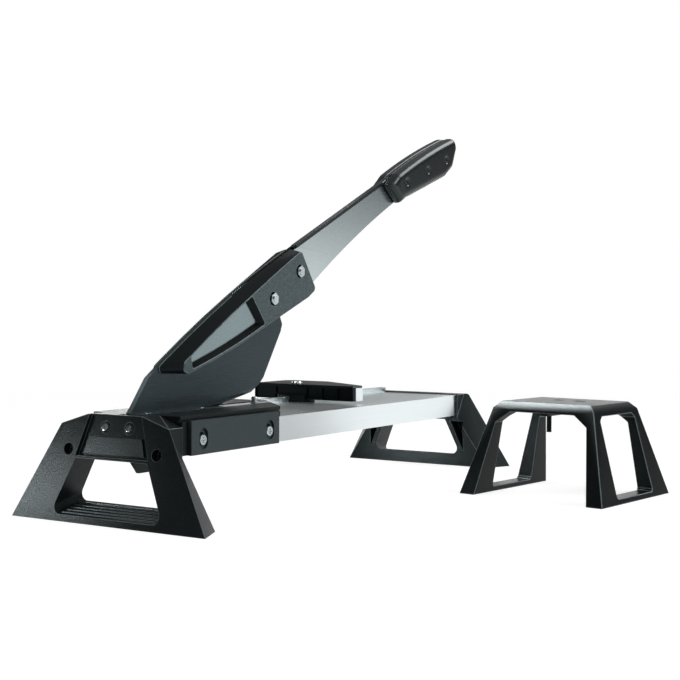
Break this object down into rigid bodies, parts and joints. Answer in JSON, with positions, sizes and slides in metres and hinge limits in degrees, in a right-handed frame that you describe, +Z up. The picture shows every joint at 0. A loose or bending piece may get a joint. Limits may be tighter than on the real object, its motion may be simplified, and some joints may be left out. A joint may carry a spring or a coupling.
{
  "type": "laminate cutter",
  "caption": "Guillotine cutter for laminate planks: lever with blade, cheeks and grip on an aluminium rail between flared feet, with mitre fence, jaw plate and loose stand.",
  "frame": {"origin": "middle of the left foot's sole, on the floor", "axes": "+X along the rail from the pivot foot to the far foot, +Z up, -Y towards the user's side with the jaw plate and the stand"},
  "size_m": [0.7539, 0.5368, 0.4766],
  "materials": {
    "charcoal_plastic": "fine textured",
    "plate": "smooth",
    "cheek_plastic": "fine textured",
    "fence_plastic": "satin",
    "grip_plastic": "gloss",
    "rail_aluminium": "satin anodised",
    "lever_steel": "satin plated",
    "blade_steel": "dark satin",
    "fastener_steel": "zinc plated",
    "bracket_steel": "black coated",
    "bumper_rubber": "matt"
  },
  "bodies": {
    "base": {"left_foot": "charcoal_plastic", "right_foot": "charcoal_plastic", "nameplate": "plate", "rail": "rail_aluminium", "cutting_bed": "charcoal_plastic", "counter_blade": "fastener_steel", "counter_blade_screws": "fastener_steel", "tip_guide": "fastener_steel", "jaw_screws": "fastener_steel", "near_bracket": "bracket_steel", "far_bracket": "bracket_steel", "pivot_bolt": "fastener_steel", "pivot_nut": "fastener_steel", "pivot_washers": "fastener_steel", "stop_bumper": "bumper_rubber", "left_panel_screws": "fastener_steel", "left_leg_screws": "bracket_steel", "right_leg_screws": "bracket_steel"},
    "jaw": {"front_jaw": "charcoal_plastic"},
    "lever": {"blade": "blade_steel", "pivot_bush": "fastener_steel", "lever_arm": "lever_steel", "spine_trim": "grip_plastic", "near_cheek": "cheek_plastic", "far_cheek": "cheek_plastic", "cheek_bolts": "fastener_steel", "cheek_nuts": "fastener_steel", "near_grip": "grip_plastic", "far_grip": "grip_plastic", "grip_core": "grip_plastic", "grip_screws": "fastener_steel", "grip_nuts": "fastener_steel"},
    "slider": {"fence_slider": "charcoal_plastic", "slider_lock_screw": "fastener_steel", "fence_pivot_screw": "fastener_steel"},
    "fence": {"fence_bar": "rail_aluminium", "fence_strip": "fence_plastic", "fence_cover": "cheek_plastic"},
    "loose_stand": {"stand": "charcoal_plastic", "stand_peg": "charcoal_plastic"}
  },
  "joints": [
    {"name": "lever_swing", "type": "hinge", "parent": "base", "child": "lever", "pos_m": [0.041, 0, 0.088], "axis": [0, -1, 0], "range_deg": [-5, 38]},
    {"name": "jaw_slide", "type": "slide", "parent": "base", "child": "jaw", "axis": [0, 0, 1], "range_m": [-0.005, 0]},
    {"name": "fence_slide", "type": "slide", "parent": "base", "child": "slider", "axis": [1, 0, 0], "range_m": [-0.07, 0.13]},
    {"name": "fence_swivel", "type": "hinge", "parent": "slider", "child": "fence", "pos_m": [0.4195, 0.05875, 0.115], "axis": [0, 0, 1], "range_deg": [-45, 45]},
    {"name": "stand_shift", "type": "slide", "parent": "base", "child": "loose_stand", "axis": [0, -1, 0], "range_m": [-0.05, 0.15]}
  ]
}
